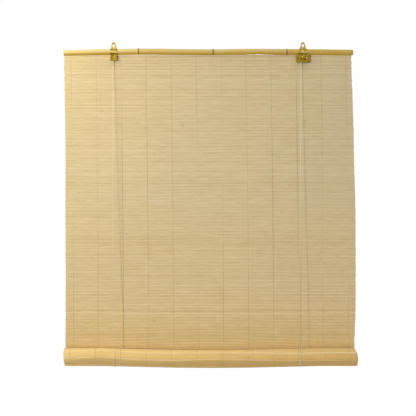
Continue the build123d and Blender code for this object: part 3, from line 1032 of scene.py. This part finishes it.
# Half turn of each cord under the roll, which it carries.
sling_corner = sling_r * tan(pi / 8)
for name, node, x in (
    ("sling_left", "left_cord_sling", left_sling_x),
    ("sling_right", "right_cord_sling", right_sling_x),
):
    route = [
        (x, roll_y - sling_r, roll_z),
        (x, roll_y - sling_r, roll_z - sling_corner),
        (x, roll_y - sling_corner, roll_z - sling_r),
        (x, roll_y + sling_corner, roll_z - sling_r),
        (x, roll_y + sling_r, roll_z - sling_corner),
        (x, roll_y + sling_r, roll_z),
    ]
    piece, path, length = lay_cord(name, route, "sling", [node])

# The left cord over its wheel, along under the cane and through the lock, and the right cord over the
# lock's wheel. Both go down past the roller to the knot.
past_roller = [
    (0.294, -0.03165),
    (0.29672, -0.034),
    (0.30072, -0.03746),
    (0.30325, -0.03964),
    (0.30325, -0.043),
    (0.30325, -0.0468),
]
route = [
    left_groove,
    (left_cord_x, rear_groove_y, cord_top_z),
    (-0.28655, rear_groove_y, cord_top_z),
    (0.28, rear_groove_y, cord_top_z),
    (0.2904, rear_groove_y, cord_top_z),
]
route += [(x, rear_groove_y, z) for x, z in past_roller]
cross_cord, cross_path, cross_length = lay_cord("cross_cord", route, "head", ["transfer_cord"])
route = [right_groove, (right_cord_x, front_groove_y, cord_top_z)]
route += [(x, front_groove_y, z) for x, z in past_roller]
lock_run = lay_cord("lock_run", route, "head", ["lock_cord"])[0]

# The two ends in the lock are tied together in one round overhand knot, a loop that goes twice round.
knot_low, knot_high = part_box("lock_knot")
knot_middle = (knot_low + knot_high) / 2
knot_reach = (knot_high - knot_low) / 2 - Vector((cord_d, cord_d, cord_d)) / 2
knot_points = 36
route = []
for step in range(knot_points + 1):
    turn = 2 * pi * step / knot_points
    out = (2 + cos(3 * turn)) / 3
    along = Vector((out * cos(2 * turn), sin(3 * turn), out * sin(2 * turn)))
    route.append(knot_middle + along * knot_reach)
knot = lay_cord("end_knot", route, "head", ["lock_knot"])[0]

# Studio: a pale floor well below the hanging blind and a white backdrop. A broad warm lamp stands close by
# on the left, a small one far off on the left throws the cords' shadows, and a broad one lights the back.
floor_z = -2.0
floor_r = 1.2
bm = bmesh.new()
below = Matrix.Translation((0, 0, floor_z))
bmesh.ops.create_circle(bm, cap_ends=True, radius=floor_r, segments=96, matrix=below)
mesh = bpy.data.meshes.new("floor")
bm.to_mesh(mesh)
bm.free()
floor = bpy.data.objects.new("floor", mesh)
bpy.context.scene.collection.objects.link(floor)
pale, shader = new_finish("pale_floor", Roughness=0.9)
shader.inputs["Base Color"].default_value = linear("#F4F2EE")
mesh.materials.append(pale)

# The room gives more light from above than from below; a camera or a mirror sees plain white
ambient = 0.375
brighter_towards = (0.0, 0.0, 0.37)
world = bpy.data.worlds.new("studio")
bpy.context.scene.world = world
world.use_nodes = True
sky = world.node_tree.nodes["Background"]
sky.inputs["Color"].default_value = (1, 1, 1, 1)
direction = add_node(world, "ShaderNodeTexCoord").outputs["Generated"]
slope = add_node(
    world, "ShaderNodeVectorMath", {0: direction, 1: brighter_towards}, operation="DOT_PRODUCT"
)
room = add_node(
    world,
    "ShaderNodeMath",
    {0: slope.outputs["Value"], 1: ambient},
    operation="ADD",
    use_clamp=True,
)
rays = add_node(world, "ShaderNodeLightPath").outputs
seen = add_node(
    world, "ShaderNodeMath", {0: rays["Is Camera Ray"], 1: rays["Is Glossy Ray"]}, operation="MAXIMUM"
)
seen = add_node(
    world, "ShaderNodeMath", {0: seen.outputs["Value"], 1: rays["Is Transmission Ray"]}, operation="MAXIMUM"
)
level = add_node(
    world,
    "ShaderNodeMapRange",
    {"Value": seen.outputs["Value"], "To Min": room.outputs["Value"], "To Max": 1.0},
)
world.node_tree.links.new(level.outputs["Result"], sky.inputs["Strength"])

# Each lamp's name, place, the point it is aimed at, width, watts and colour
lamps = [
    ("warm_lamp", (-0.75, -0.5, 0.1), (-0.15, 0, -0.4), 0.5, 2.2, (1.0, 0.88, 0.42)),
    ("key_lamp", (-2.0, -4.0, -0.4), (0, 0, -0.5), 0.04, 72.0, (1.0, 0.94, 0.66)),
    ("back_lamp", (0.5, 3.0, -0.6), (0, 0, -0.5), 1.0, 40.0, (1.0, 1.0, 1.0)),
]
for name, place, aim, size, power, colour in lamps:
    light = bpy.data.lights.new(name, "AREA")
    light.shape = "DISK"
    light.size = size
    light.energy = power
    light.color = colour
    lamp = bpy.data.objects.new(name, light)
    lamp.location = place
    lamp.rotation_euler = (Vector(aim) - Vector(place)).to_track_quat("-Z", "Y").to_euler()
    bpy.context.scene.collection.objects.link(lamp)

# Camera: straight on, a little above the middle of the mat, with a long lens that takes in the whole
# blind and keeps its sides upright.
camera = bpy.data.cameras.new("camera")
camera.sensor_width = 36
camera.lens = 65.26
viewer = bpy.data.objects.new("camera", camera)
viewer.location = (-0.001, -2.345, -0.505)
viewer.rotation_euler = (pi / 2, 0, 0)
bpy.context.scene.collection.objects.link(viewer)
bpy.context.scene.camera = viewer
bpy.context.scene.view_settings.view_transform = "Standard"
